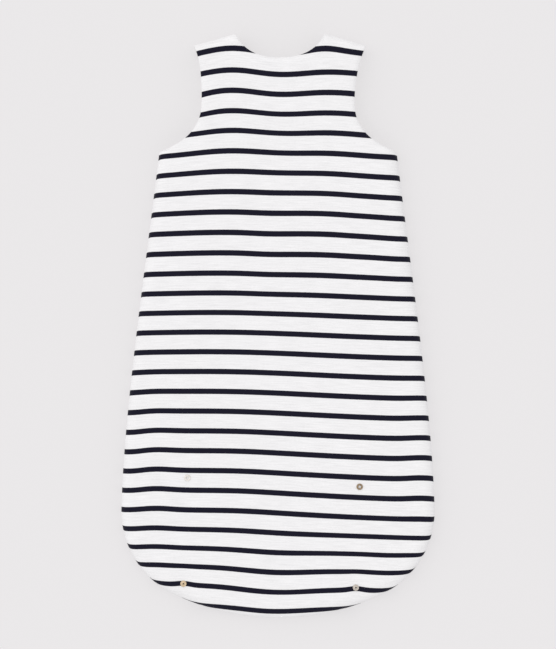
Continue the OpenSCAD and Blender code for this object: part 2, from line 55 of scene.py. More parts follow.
# Outline, as in the CAD source
HALF_L = 350.0
HALF_W = 187.6
CORNER_Y = -222.0
HEM_RADIUS = 288.0
HEM_CENTRE = np.array([0.0, HEM_RADIUS - HALF_L])
CORNER_R = (HEM_RADIUS**2 - HALF_W**2 - (HEM_CENTRE[1] - CORNER_Y) ** 2) / (2 * (HEM_RADIUS - HALF_W))
CORNER_X = HALF_W - CORNER_R
JOIN_ANGLE = math.degrees(math.atan2(HEM_CENTRE[1] - CORNER_Y, CORNER_X))
SPLIT_ANGLE = 40.0
SEAM = [(187.6, -222), (185, -105), (160, 60), (142, 208)]
SCOOP = [(142, 208), (112.2, 219), (91.2, 236), (91.2, 268)]
ARM = [(91.2, 268), (91.2, 296), (95, 320), (103, 336)]
SHOULDER_TIP = (103, 336)
NECK_POINT = (54, 350)
BACK_NECK = [NECK_POINT, (44, 328), (22, 320.5), (0, 321)]
FRONT_NECK = [NECK_POINT, (39, 316), (30, 268), (0, 268)]
LEAN = 2.6
LEAN_FROM = 260.0

# Fold line of the hem
FOLD_TILT = math.radians(-2.14)
FOLD_POINT = np.array([0.0, -249.4])
FOLD_A = np.array([math.cos(FOLD_TILT), math.sin(FOLD_TILT)])
FOLD_N = np.array([-math.sin(FOLD_TILT), math.cos(FOLD_TILT)])
HEM_EASE = 0.72

# Heights from the middle of the bag, from the outer face of the shell to the inner face of the lining
MID_Z = 11.5
LEVELS = (11.5, 10.5, 9.2, 5.9, 5.6, 4.6)
# Each kind of edge, for the six surfaces in turn: where its rounding starts, the radius, the height there
CLOSED = ((0, 0.6, 3, 4.5, 6.5, 7.2), (14, 13.4, 13, 8, 10, 9.5), (1.5, 0.12, 2.2, 0.6, 1.6, 0.4))
OPEN = ((0, 0, 4.5, 4.5, 0, 0), (8, 8, 8, 8, 8, 8), (9.1, 8.1, 8.85, 7.65, 7.85, 6.95))
ZIPPED = ((0, 0, 12, 12, 0, 0), (16, 16, 10, 10, 16, 16), (7.5, 6.5, 8.0, 5.9, 5.6, 4.6))
SEAMED = ((0, 0, 2, 2, 0, 0), (6, 6, 6, 6, 6, 6), (9.8, 8.8, 7.2, 5.9, 5.6, 4.6))
DRAW_REACH = 60.0

# Zip
FRONT_NECK_DEPTH = 82.0
ZIP_EDGE = 7.5
SEAM_TOP = -230.0
OPENING_FOOT = -226.0
CENTRE_GAP = 0.15
TAPE_Z = 5.5
ZIP_TOP = 250.0
ZIP_FOOT = -200.0
SLIDER_Y = 240.7
PULL_Y = 242.2
PULL_Z = 1.9

# Snaps, as (distance along the fold line, distance from it)
TOP_Z = 23.0
SNAP_LEFT = (-110.9, 63.4)
SNAP_RIGHT = (95.5, 60.4)

# Stripes of the jersey
PITCH = 23.925
FIRST_STRIPE = 301.8
STRIPE_HALF = 3.3 / PITCH
STRIPE_SOFT = 0.28 / PITCH


# ---------------------------------------------------------------- curves

def bezier(points, shares):
    """Points of a cubic curve at shares from 0 to 1."""
    p = np.array(points, float)
    t = np.asarray(shares, float)[:, None]
    s = 1 - t
    return s**3 * p[0] + 3 * s * s * t * p[1] + 3 * s * t * t * p[2] + t**3 * p[3]


def smooth(t):
    """Smooth step from 0 to 1."""
    t = np.clip(t, 0, 1)
    return t * t * (3 - 2 * t)


def bump(x, centre, width):
    """Bell curve with its top of 1 at the centre."""
    return np.exp(-(((x - centre) / width) ** 2))


def place(side, points):
    """Mirrors right-hand points to a side and adds the lean of the shoulders."""
    p = np.array(points, float)
    lean = LEAN * smooth((p[:, 1] - LEAN_FROM) / (HALF_L - LEAN_FROM))
    return np.column_stack([side * p[:, 0] + lean, p[:, 1]])


def arc(centre, radius, from_deg, to_deg, count):
    """Arc with its angles measured downwards from the right."""
    a = np.radians(np.linspace(from_deg, to_deg, count + 1))
    return np.column_stack([centre[0] + radius * np.cos(a), centre[1] - radius * np.sin(a)])


def even(count):
    """Shares from 0 to 1 in even steps."""
    return np.linspace(0, 1, count + 1)


def graded(count, ease):
    """Shares from 0 to 1, closer together at both ends."""
    t = even(count)
    return t - ease / (2 * math.pi) * np.sin(2 * math.pi * t)


def chain(*parts):
    """Lines joined end to end, without repeating the shared points."""
    return np.vstack([parts[0]] + [p[1:] for p in parts[1:]])


def fold_end(side):
    """Where the fold line meets the outline."""
    centre = np.array([side * CORNER_X, CORNER_Y]) - FOLD_POINT
    off = centre @ FOLD_N
    return FOLD_POINT + (centre @ FOLD_A + side * math.sqrt(CORNER_R**2 - off * off)) * FOLD_A


def fold_angle(side):
    """Angle of fold_end() on its corner arc."""
    return math.degrees(math.asin((CORNER_Y - fold_end(side)[1]) / CORNER_R))


class Rows:
    """Numbers of cells along each part of the outline, scaled by how fine a layer is."""

    def __init__(self, fine):
        def scaled(count):
            return max(2, round(count * fine))

        self.corner, self.seam, self.scoop, self.arm = scaled(12), scaled(120), scaled(26), scaled(26)
        self.hem, self.hem_corner, self.hem_arc = scaled(46), scaled(16), scaled(44)
        self.half = self.hem_corner + self.hem_arc
        self.shoulder = scaled(24)
        self.neck = self.half - self.shoulder


def side_line(side, rows):
    """From the fold line up to the shoulder tip."""
    corner = (CORNER_X, CORNER_Y)
    return chain(
        place(side, arc(corner, CORNER_R, fold_angle(side), 0, rows.corner)),
        place(side, bezier(SEAM, even(rows.seam))),
        place(side, bezier(SCOOP, even(rows.scoop))),
        place(side, bezier(ARM, even(rows.arm))),
    )


def hem_side(side, rows):
    """From the bottom arc up to the fold line."""
    angles = SPLIT_ANGLE + (fold_angle(side) - SPLIT_ANGLE) * graded(rows.hem, HEM_EASE)
    a = np.radians(angles)
    return place(side, np.column_stack([CORNER_X + CORNER_R * np.cos(a), CORNER_Y - CORNER_R * np.sin(a)]))


def bottom_half(side, rows):
    """From the side to the centre."""
    right = chain(
        arc((CORNER_X, CORNER_Y), CORNER_R, SPLIT_ANGLE, JOIN_ANGLE, rows.hem_corner),
        arc(HEM_CENTRE, HEM_RADIUS, JOIN_ANGLE, 90, rows.hem_arc),
    )
    return right * (side, 1)


def top_half(side, rows, neck):
    """From the shoulder tip over the shoulder and down the neckline to the centre."""
    over = SHOULDER_TIP + even(rows.shoulder)[:, None] * (np.array(NECK_POINT) - SHOULDER_TIP)
    return chain(place(side, over), place(side, bezier(neck, even(rows.neck))))


def fold_half(side, rows, inner=0.0):
    """From the side along the fold line to near the centre, closer together at the side."""
    start, end = fold_end(side), FOLD_POINT + side * inner * FOLD_A
    return start + (even(rows.half) ** 1.3)[:, None] * (end - start)


# ---------------------------------------------------------------- grids and heights

def shares(line):
    """Place of each point along a line, as a share of its length."""
    run = np.concatenate([[0], np.cumsum(np.linalg.norm(np.diff(line, axis=0), axis=1))])
    return run / run[-1]


def coons(bottom, top, left, right):
    """Grid between four sides; bottom and top run to the right, left and right run upwards."""
    u = shares(bottom)[None, :, None]
    v = shares(left)[:, None, None]
    ruled = bottom[None] * (1 - v) + top[None] * v + left[:, None] * (1 - u) + right[:, None] * u
    corners = (bottom[0] * (1 - u) + bottom[-1] * u) * (1 - v) + (top[0] * (1 - u) + top[-1] * u) * v
    return ruled - corners


def nearest(points, line):
    """For each point: distance to a line, unit normal of the nearest piece, and place along the line."""
    a, step = line[:-1], np.diff(line, axis=0)
    length = np.linalg.norm(step, axis=1)
    before = np.concatenate([[0], np.cumsum(length)[:-1]])
    out = []
    for part in np.array_split(points, max(1, len(points) // 1500)):
        rel = part[:, None] - a[None]
        t = np.clip((rel * step).sum(2) / length**2, 0, 1)
        gap = rel - t[..., None] * step
        square = (gap**2).sum(2)
        i = square.argmin(1)
        k = np.arange(len(part))
        normal = np.column_stack([-step[i, 1], step[i, 0]]) / length[i, None]
        out.append(np.column_stack([np.sqrt(square[k, i]), normal, before[i] + t[k, i] * length[i]]))
    return np.vstack(out)


def closest(points, lines):
    """The nearest of several lines, as nearest() gives it; far away where there are none."""
    best = np.full((len(points), 4), 1e4)
    for line in lines:
        found = nearest(points, line)
        better = found[:, 0] < best[:, 0]
        best[better] = found[better]
    return best


def rise(distance, radius):
    """Quarter round from 0 at an edge to 1 at a radius from it."""
    t = np.clip(distance / radius, 0, 1)
    return np.sqrt(1 - (1 - t) ** 2)


def height(k, reach):
    """Height of surface k, from the distances to the open, zipped, seamed and closed edges."""
    h = np.full(len(reach[0]), LEVELS[k])
    for kind, distance in zip((OPEN, ZIPPED, SEAMED, CLOSED), reach):
        h = kind[2][k] + (h - kind[2][k]) * rise(distance - kind[0][k], kind[1][k])
    return h


def draw_in(points, lines, amount):
    """Moves points near some edges inwards, most at the edge itself."""
    if amount == 0 or not lines:
        return points
    found = closest(points, lines)
    share = np.clip(1 - found[:, 0] / DRAW_REACH, 0, 1)
    return points + found[:, 1:3] * (amount * share)[:, None]


class Panel:
    """Grid of a panel and its edges, each an anticlockwise line so that its normal points inwards."""

    def __init__(self, side, fine):
        rows = Rows(fine)
        self.side = side
        low_left, low_right = hem_side(-1, rows), hem_side(1, rows)
        left, right = side_line(-1, rows), side_line(1, rows)
        under_arm = rows.corner + rows.seam
        neck = BACK_NECK if side == 0 else FRONT_NECK
        tops = {s: top_half(s, rows, neck) for s in (-1, 1)}
        if side == 0:
            bottom = chain(bottom_half(-1, rows), bottom_half(1, rows)[::-1])
            fold = chain(fold_half(-1, rows), fold_half(1, rows)[::-1])
            top = chain(tops[-1], tops[1][::-1])
            low, high = coons(bottom, fold, low_left, low_right), coons(fold, top, left, right)
        else:
            bottom, fold = bottom_half(side, rows), fold_half(side, rows, CENTRE_GAP)
            bottom[-1, 0] = side * CENTRE_GAP
            outer, outer_low = (left, low_left) if side < 0 else (right, low_right)
            top = tops[side].copy()
            top[:, 0] = side * np.maximum(side * top[:, 0], ZIP_EDGE)
            middle = self.middle(side, outer, top[-1, 1])
            low_mid = bottom[-1] + shares(outer_low)[:, None] * (fold[-1] - bottom[-1])
            if side < 0:
                low = coons(bottom, fold, outer_low, low_mid)
                high = coons(fold, top, outer, middle)
            else:
                low = coons(bottom[::-1], fold[::-1], low_mid, outer_low)
                high = coons(fold[::-1], top[::-1], middle, outer)
        self.grid = np.vstack([low, high[1:]])
        self.find_edges(rows, under_arm, left, right, low_left, low_right, tops)

    @staticmethod
    def middle(side, outer, top_y):
        """Inner side of a front half: the seam up from the fold line, then the edge beside the zip."""
        y = FOLD_POINT[1] + shares(outer) * (top_y - FOLD_POINT[1])
        step = smooth((y - SEAM_TOP) / (OPENING_FOOT - SEAM_TOP))
        return np.column_stack([side * (CENTRE_GAP + (ZIP_EDGE - CENTRE_GAP) * step), y])

    def find_edges(self, rows, under_arm, left, right, low_left, low_right, tops):
        """Lines run anticlockwise round the bag as seen from above."""
        bottom = chain(bottom_half(-1, rows), bottom_half(1, rows)[::-1])
        around = chain(
            left[: under_arm + 1][::-1], low_left[::-1], bottom, low_right, right[: under_arm + 1]
        )
        shoulders = {s: tops[s][: rows.shoulder + 1] for s in (-1, 1)}
        necks = {s: tops[s][rows.shoulder :] for s in (-1, 1)}
        self.closed = [around, shoulders[1], shoulders[-1][::-1]]
        self.open = [right[under_arm:], left[under_arm:][::-1], necks[1], necks[-1][::-1]]
        self.zipped, self.seamed = [], []
        if self.side:
            top_y = HALF_L - FRONT_NECK_DEPTH
            window = np.array([[self.side * ZIP_EDGE, OPENING_FOOT], [self.side * ZIP_EDGE, top_y]])
            seam = np.array([[self.side * CENTRE_GAP, -HALF_L], [self.side * CENTRE_GAP, SEAM_TOP]])
            upwards = self.side < 0
            self.zipped = [window if upwards else window[::-1]]
            self.seamed = [seam if upwards else seam[::-1]]

    def layer(self, outer):
        """Points of a layer, their heights on its two faces, and what their nearest closed edge is."""
        points = self.grid.reshape(-1, 2)
        edges = ((self.open, OPEN), (self.zipped, ZIPPED), (self.seamed, SEAMED), (self.closed, CLOSED))
        for lines, kind in edges:
            points = draw_in(points, lines, kind[0][outer])
        edge = closest(points, self.closed)
        reach = [closest(points, lines)[:, 0] for lines in (self.open, self.zipped, self.seamed)]
        reach.append(edge[:, 0])
        return points, height(outer, reach), height(outer + 1, reach), edge


# ---------------------------------------------------------------- stripes and relief

def wave(x, y):
    """How far the stripes run above their even places, where the cloth was pulled in sewing and ironing."""
    top = smooth((y - 50) / 230)
    low = smooth((-220 - y) / 120)
    left = (5.2 + 3.8 * top) * bump(x, -57, 140 - 92 * top)
    right = 5.5 * top * bump(x, 59, 55)
    tilt = (4.8 * y / HALF_L - 2.2) * x / 180
    droop = -(0.1 + 1.4 * y / HALF_L) * (x / 150) ** 2
    bow = 8.9 * low * (1 - bump(x, 0, 64)) + 2.5 * low * x / 100
    return left + right + tilt + droop + bow - 0.9 * bump(y, 50, 54) - 4.3 + local_pull(x, y)


def local_pull(x, y):
    """Smaller shifts of the stripes, at the shoulders, below the arms and in the hem."""
    shoulder = smooth((y - 305) / 30) * (0.9 + 1.5 * bump(x, -60, 50) + 3.4 * bump(x, 55, 26))
    shoulder = shoulder + 3.6 * smooth((y - 341) / 8)
    chest = -bump(y, 262, 22) * (0.9 + 1.5 * bump(x, -98, 18)) - 0.9 * bump(y, 300, 18) * bump(x, 10, 40)
    sag = 0.3 + 1.1 * bump(x, -12, 30) + 1.2 * bump(x, 146, 26) - 0.6 * bump(x, 60, 30)
    waist = -bump(y, 100, 70) * sag
    flank = bump(y, -200, 90) * (1.8 * bump(x, -146, 24) + 0.5 * bump(x, -45, 40) + 1.4 * bump(x, 172, 22))
    flank = flank + bump(y, -130, 80) * (1.0 * bump(x, 175, 24) - 1.8 * bump(x, -178, 20))
    lift = 1.4 * bump(x, -158, 36) + 1.1 * bump(x, 35, 50) - 1.0 * bump(x, 130, 22)
    hem = smooth((-245 - y) / 45) * lift
    lift = 1.2 * bump(x, 15, 40) - 2.2 * bump(x, -98, 38) - 1.2 * bump(x, 98, 30)
    lowest = smooth((-316 - y) / 12) * lift
    corner = -1.5 * bump(y, -250, 26) * bump(x, 172, 26)
    return 0.3 + shoulder + chest + waist + flank + hem + lowest + corner - 0.6 * bump(y, 190, 45)


def snap_pull(x, y):
    """The stripes pulled up a little at the lower snaps."""
    shift = np.zeros(len(x))
    for _, centre, socket in snap_places():
        if not socket:
            shift += 2.0 * bump(x, centre[0], 11) * bump(y, centre[1] - 2, 16)
    return shift


def snap_places():
    """Name, centre and whether it is a socket, for the four snaps."""
    for name, (along, reach) in (("left", SNAP_LEFT), ("right", SNAP_RIGHT)):
        yield name, FOLD_POINT + along * FOLD_A + reach * FOLD_N, True
        yield name, FOLD_POINT + along * FOLD_A - reach * FOLD_N, False


def wall_extra(distance, radius, depth):
    """Cloth taken up beyond the flat run where an edge rounds down through a depth."""
    a = np.linspace(0, math.pi / 2, 60)
    run, drop = radius * np.sin(a), depth * (1 - np.cos(a))
    path = np.concatenate([[0], np.cumsum(np.hypot(np.diff(run), np.diff(drop)))])
    return np.interp(radius - distance, run, path - run)


def smooth_noise(points, scale, seed, stretch=1.0):
    return np.array([noise.noise(Vector((x / scale, y * stretch / scale, seed))) for x, y in points])


# Pinch creases beside the hem, as (x, y, half length)
CREASES = ((-183, -257, 26), (183, -262, 24), (-176, -284, 18), (172, -292, 20))


def relief(points, edge, seed):
    """Ease of the cloth over its padding, in millimetres: broad swells, seam puckers and creases."""
    x, y = points.T
    swell = 0.42 * smooth_noise(points, 95, seed) + 0.2 * smooth_noise(points, 34, seed + 3, 1.7)
    near_seam = np.exp(-edge[:, 0] / 13) * np.clip(edge[:, 0] / 2.5, 0, 1)
    ripple = np.array([noise.noise(Vector((s / 9.5, seed, 0.3))) for s in edge[:, 3]])
    height_mm = swell + 0.75 * near_seam * ripple
    for crease_x, crease_y, length in CREASES:
        across = y - crease_y - 0.08 * (x - crease_x)
        height_mm += 0.5 * bump(x, crease_x, length) * (bump(across, 0, 3.2) - bump(across, 7, 4))
    return height_mm


def snap_dimples(points):
    """Cloth pressed flat with short puckers round each snap, and the share of relief left elsewhere."""
    socket_depth, stud_depth, snap_r = 0.22, 0.5, 3.8
    dip = np.zeros(len(points))
    free = np.ones(len(points))
    for _, centre, socket in snap_places():
        off = points - centre
        far = np.hypot(*off.T)
        angle = np.arctan2(off[:, 1], off[:, 0])
        free *= 1 - bump(far, 0, 9)
        ring = np.clip((far - snap_r) / 2.2, 0, 1) * np.exp(-np.clip(far - 5, 0, None) / 6.5)
        depth = socket_depth if socket else stud_depth
        dip += ring * depth * (np.cos(5 * angle + 0.6) * 0.6 - 0.7)
    return dip, free


# ---------------------------------------------------------------- meshes

def mesh_object(name, points, faces, material, uv=None, sharp_deg=38):
    """Object from points in millimetres, with its cloth coordinates in stripe pitches."""
    mesh = bpy.data.meshes.new(name)
    mesh.from_pydata((np.asarray(points, float) * MM).tolist(), [], faces)
    mesh.materials.append(material)
    mesh.polygons.foreach_set("use_smooth", [True] * len(mesh.polygons))
    mesh.set_sharp_from_angle(angle=math.radians(sharp_deg))
    if uv is None:
        p = np.asarray(points, float)
        uv = np.column_stack([p[:, 0] + 0.37 * p[:, 2], p[:, 1] + 0.53 * p[:, 2]]) / PITCH
    layer = mesh.uv_layers.new(name="cloth")
    loops = np.zeros(len(mesh.loops), np.int32)
    mesh.loops.foreach_get("vertex_index", loops)
    layer.data.foreach_set("uv", np.asarray(uv, np.float32)[loops].ravel())
    obj = bpy.data.objects.new(name, mesh)
    bpy.context.scene.collection.objects.link(obj)
    return obj


def rim_of(rows, columns):
    """Indices round a grid, anticlockwise from its lower left corner."""
    across, up = np.arange(columns), np.arange(rows)
    return np.concatenate([
        across[:-1],
        up[:-1] * columns + columns - 1,
        (rows - 1) * columns + across[:0:-1],
        up[:0:-1] * columns,
    ])


def cloth_mesh(name, shape, points, upper, lower, material, bulge=0.35, uv=None):
    """A sheet with two faces and a rounded rim, from a grid of points and its two heights."""
    rows, columns = shape
    count = rows * columns
    rim = rim_of(rows, columns)
    ring = points[rim]
    tangent = np.roll(ring, -1, axis=0) - np.roll(ring, 1, axis=0)
    tangent /= np.maximum(np.linalg.norm(tangent, axis=1), 1e-9)[:, None]
    away = np.column_stack([tangent[:, 1], -tangent[:, 0]])
    reach = np.where(np.abs(ring[:, 0]) < 1.0, 0.0, bulge)
    mid = np.column_stack([ring + away * reach[:, None], (upper[rim] + lower[rim]) / 2])
    solid = np.vstack([np.column_stack([points, upper]), np.column_stack([points, lower]), mid])
    a = (np.arange(rows - 1)[:, None] * columns + np.arange(columns - 1)).ravel()
    over = np.column_stack([a, a + 1, a + columns + 1, a + columns])
    under = over[:, ::-1] + count
    k = np.arange(len(rim))
    following = np.roll(k, -1)
    m0, m1 = 2 * count + k, 2 * count + following
    high = np.column_stack([m0, m1, rim[following], rim])
    deep = np.column_stack([rim + count, rim[following] + count, m1, m0])
    faces = np.vstack([over, under, high, deep]).tolist()
    if uv is not None:
        uv = np.vstack([uv, uv, uv[rim]])
    return mesh_object(name, solid, faces, material, uv, sharp_deg=60)


def striped_uv(points, with_snaps):
    """Cloth coordinates whose whole numbers of v lie midway between stripes."""
    x, y = points.T
    shift = wave(x, y) + (snap_pull(x, y) if with_snaps else 0)
    return np.column_stack([x / PITCH, (y - shift - FIRST_STRIPE) / PITCH + 0.5])


def loft(loops, ends="caps"):
    """Skin over loops of equal length. ends is caps, or ring where the last loop joins the first."""
    loops = np.asarray(loops, float)
    count, size = loops.shape[:2]
    faces = []
    for i in range(count if ends == "ring" else count - 1):
        j = (i + 1) % count
        for k in range(size):
            n = (k + 1) % size
            faces.append([i * size + k, i * size + n, j * size + n, j * size + k])
    if ends == "caps":
        faces.append(list(range(size))[::-1])
        faces.append([(count - 1) * size + k for k in range(size)])
    return loops.reshape(-1, 3), faces


def merged(parts):
    """Several parts, each of points and faces, as one."""
    points, faces, start = [], [], 0
    for part_points, part_faces in parts:
        points.append(part_points)
        faces += [[start + i for i in f] for f in part_faces]
        start += len(part_points)
    return np.vstack(points), faces


def circle(centre, radius, count):
    a = np.linspace(0, 2 * math.pi, count, endpoint=False)
    return np.column_stack([centre[0] + radius * np.cos(a), centre[1] + radius * np.sin(a)])


def lathe(centre, profile, base_z, count=56):
    """Ring turned about a vertical axis from a closed anticlockwise profile of (radius, height)."""
    loops = []
    for radius, z in profile:
        loops.append(np.column_stack([circle(centre, radius, count), np.full(count, base_z + z)]))
    return loft(loops, "ring")


def rounded_outline(centre, width, length, radius, per_corner=8, taper=0.0):
    """Anticlockwise rounded rectangle, narrower by taper at its lower end."""
    out = []
    for quarter, (sx, sy) in enumerate(((1, -1), (1, 1), (-1, 1), (-1, -1))):
        for t in even(per_corner):
            a = math.radians(-90 + 90 * (quarter + t))
            x = sx * (width / 2 - radius) + radius * math.cos(a)
            y = sy * (length / 2 - radius) + radius * math.sin(a)
            x *= 1 - taper * (0.5 - y / length)
            out.append((centre[0] + x, centre[1] + y))
    return np.array(out)


def inset_outline(outline, amount):
    """Closed outline moved inwards."""
    tangent = np.roll(outline, -1, axis=0) - np.roll(outline, 1, axis=0)
    tangent /= np.linalg.norm(tangent, axis=1)[:, None]
    return outline + amount * np.column_stack([-tangent[:, 1], tangent[:, 0]])


def at_height(outline, z):
    return np.column_stack([outline, np.full(len(outline), z)])


def slab(outline, low, high, edge):
    """Plate with rounded edges."""
    small, tiny = inset_outline(outline, edge * 0.3), inset_outline(outline, edge)
    return loft([
        at_height(tiny, low), at_height(small, low + edge * 0.3), at_height(outline, low + edge),
        at_height(outline, high - edge), at_height(small, high - edge * 0.3), at_height(tiny, high),
    ])


def bar(start, end, axis, half_a, half_b, size=8, edge=0.35):
    """Rounded bar from start to end along an axis (0 x, 1 y, 2 z), with its other two half widths."""
    a, b = [i for i in range(3) if i != axis]
    angles = (np.arange(size) + 0.5) * 2 * math.pi / size
    if axis == 1:
        angles = -angles
    length = abs(end[axis] - start[axis])
    cut = min(edge, length / 3)
    loops = []
    for t, grow in ((0, 0.72), (cut / length, 1), (1 - cut / length, 1), (1, 0.72)):
        centre = np.array(start, float) * (1 - t) + np.array(end, float) * t
        loop = np.tile(centre, (size, 1))
        loop[:, a] += half_a * grow * np.sign(np.cos(angles)) * np.abs(np.cos(angles)) ** 0.55
        loop[:, b] += half_b * grow * np.sign(np.sin(angles)) * np.abs(np.sin(angles)) ** 0.55
        loops.append(loop)
    return loft(loops)


def ribbon(path, x_low, x_high, half):
    """Strip of cloth that follows a path in (y, z), from x_low to x_high, with rounded edges."""
    bevel = 0.3
    section = (
        (x_low + bevel, -1), (x_high - bevel, -1), (x_high, 0),
        (x_high - bevel, 1), (x_low + bevel, 1), (x_low, 0),
    )
    path = np.array(path, float)
    step = np.gradient(path, axis=0)
    step /= np.linalg.norm(step, axis=1)[:, None]
    normal = np.column_stack([-step[:, 1], step[:, 0]])
    loops = []
    for place_yz, n in zip(path, normal):
        loop = []
        for x, h in section:
            y, z = place_yz + n * half * h
            loop.append((x, y, z))
        loops.append(loop[::-1])
    return loft(loops)


# ---------------------------------------------------------------- materials

class Graph:
    """A material on one Principled shader, with helpers that add and link nodes."""

    def __init__(self, name, color, roughness, metallic=0.0, specular=0.5, sheen=0.0):
        self.material = bpy.data.materials.new(name)
        self.material.use_nodes = True
        self.tree = self.material.node_tree
        self.shader = self.tree.nodes["Principled BSDF"]
        values = {
            "Base Color": (*color, 1), "Roughness": roughness, "Metallic": metallic,
            "Specular IOR Level": specular, "Sheen Weight": sheen,
        }
        for key, value in values.items():
            self.shader.inputs[key].default_value = value

    def node(self, kind, inputs=(), **settings):
        made = self.tree.nodes.new("ShaderNode" + kind)
        for key, value in settings.items():
            setattr(made, key, value)
        for key, value in dict(inputs).items():
            if isinstance(value, bpy.types.NodeSocket):
                self.tree.links.new(value, made.inputs[key])
            else:
                made.inputs[key].default_value = value
        return made

    def math(self, operation, a, b=0.0):
        return self.node("Math", {0: a, 1: b}, operation=operation).outputs[0]

    def uv(self):
        return self.node("UVMap", uv_map="cloth").outputs[0]

    def split(self, vector):
        return self.node("SeparateXYZ", {0: vector}).outputs

    def scaled(self, vector, x, y):
        return self.node("VectorMath", {0: vector, 1: (x, y, 1.0)}, operation="MULTIPLY").outputs[0]

    def noise(self, vector, scale, detail):
        return self.node("TexNoise", {"Vector": vector, "Scale": scale, "Detail": detail}).outputs["Fac"]

    def spread(self, value, low, high, start=0.0, end=1.0, kind="LINEAR"):
        keys = {"Value": value, "From Min": start, "From Max": end, "To Min": low, "To Max": high}
        return self.node("MapRange", keys, interpolation_type=kind).outputs[0]

    def mix(self, factor, a, b, kind="MIX"):
        made = self.node("Mix", data_type="RGBA", blend_type=kind)
        for index, value in ((0, factor), (6, a), (7, b)):
            if isinstance(value, bpy.types.NodeSocket):
                self.tree.links.new(value, made.inputs[index])
            else:
                made.inputs[index].default_value = value
        return made.outputs[2]

    def grey(self, value):
        return self.node("CombineColor", {0: value, 1: value, 2: value}).outputs[0]

    def link(self, key, socket):
        self.tree.links.new(socket, self.shader.inputs[key])

    def relief(self, value, distance_mm, strength):
        made = self.node("Bump", {"Strength": strength, "Distance": distance_mm * MM, "Height": value})
        self.link("Normal", made.outputs[0])


# Colours are linear
WHITE_JERSEY = (0.862, 0.853, 0.865)
NAVY_JERSEY = (0.0072, 0.0066, 0.0165)
FLOOR_COLOR = (0.792, 0.7765, 0.7845)
# Share of the floor's brightness that comes through from below, and how strongly it shines
FLOOR_GLOW = 0.72
FLOOR_STRENGTH = FLOOR_GLOW * 1.04
# Knit loops along and across the cloth, for each pitch of the stripes
COURSES = 17.0
WALES = 20.0


def jersey(name, color, striped):
    """Fine knit: V-shaped loops, slubs along the courses, and navy stripes knitted in."""
    g = Graph(name, color, 0.9, specular=0.12, sheen=0.06)
    uv = g.uv()
    u, v, _ = g.split(uv)
    slub = g.noise(g.scaled(uv, 1.1, 19), 1.0, 4.0)
    fleck = g.noise(g.scaled(uv, 9, 26), 1.0, 3.0)
    cloud = g.noise(uv, 0.7, 2.0)
    grain = g.math("ADD", g.spread(fleck, -0.03, 0.03, 0.3, 0.7), g.spread(cloud, -0.012, 0.012, 0.3, 0.7))
    shade = g.math("ADD", g.spread(slub, 0.92, 1.035, 0.3, 0.7), grain)
    tone = g.mix(1.0, (*color, 1), g.grey(shade), "MULTIPLY")
    if striped:
        wobble = g.spread(g.noise(g.scaled(uv, 9, 9), 1.0, 2.0), -0.006, 0.006)
        turn = g.math("FRACT", g.math("ADD", v, wobble))
        off = g.math("ABSOLUTE", g.math("SUBTRACT", turn, 0.5))
        inside = g.spread(off, 1, 0, STRIPE_HALF - STRIPE_SOFT, STRIPE_HALF + STRIPE_SOFT, "SMOOTHSTEP")
        heather = g.spread(g.noise(g.scaled(uv, 30, 60), 1.0, 2.0), 0.75, 1.35, 0.3, 0.7)
        navy = g.mix(1.0, (*NAVY_JERSEY, 1), g.grey(heather), "MULTIPLY")
        tone = g.mix(inside, tone, navy)
    g.link("Base Color", tone)
    chevron = g.math("MULTIPLY", g.math("SINE", g.math("MULTIPLY", u, WALES * 2 * math.pi)), 0.22)
    course = g.math("ADD", g.math("MULTIPLY", v, COURSES), chevron)
    loops = g.math("SINE", g.math("MULTIPLY", course, 2 * math.pi))
    height_value = g.math("ADD", g.math("MULTIPLY", loops, 0.5), g.math("MULTIPLY", slub, 1.3))
    g.link("Roughness", g.spread(slub, 0.84, 0.95, 0.3, 0.7))
    g.relief(height_value, 0.1, 0.4)
    return g.material


def woven(name, color, across, along, depth_mm):
    """Plain or satin weave of crossed ribs."""
    g = Graph(name, color, 0.8, specular=0.2, sheen=0.05)
    uv = g.uv()
    u, v, _ = g.split(uv)
    warp = g.math("SINE", g.math("MULTIPLY", u, across * 2 * math.pi))
    weft = g.math("SINE", g.math("MULTIPLY", v, along * 2 * math.pi))
    rib = g.math("ADD", g.math("MULTIPLY", warp, weft), g.noise(uv, 30, 3.0))
    tone = g.grey(g.spread(rib, 0.93, 1.0, -1, 1.6))
    g.link("Base Color", g.mix(1.0, (*color, 1), tone, "MULTIPLY"))
    g.link("Roughness", g.spread(g.noise(uv, 12, 2.0), 0.68, 0.9))
    g.relief(rib, depth_mm, 0.5)
    return g.material


def fleece(name, color):
    """Loose polyester wadding."""
    g = Graph(name, color, 1.0, specular=0.1, sheen=0.2)
    uv = g.uv()
    tufts = g.noise(g.scaled(uv, 6, 7), 1.0, 8.0)
    shade = g.grey(g.spread(tufts, 0.88, 1.0, 0.3, 0.7))
    g.link("Base Color", g.mix(1.0, (*color, 1), shade, "MULTIPLY"))
    g.link("Roughness", g.spread(tufts, 0.9, 1.0))
    g.relief(tufts, 1.2, 0.7)
    return g.material


def metal(name, color, dark, rough):
    """Plated metal with a worn, slightly uneven finish."""
    g = Graph(name, color, rough, metallic=1.0)
    uv = g.uv()
    tarnish = g.noise(g.scaled(uv, 60, 60), 1.0, 4.0)
    grain = g.noise(g.scaled(uv, 40, 420), 1.0, 2.0)
    g.link("Base Color", g.mix(g.spread(tarnish, 0, 1, 0.45, 0.75), (*color, 1), (*dark, 1)))
    g.link("Roughness", g.spread(grain, rough - 0.06, rough + 0.12, 0.3, 0.7))
    g.relief(grain, 0.02, 0.4)
    return g.material


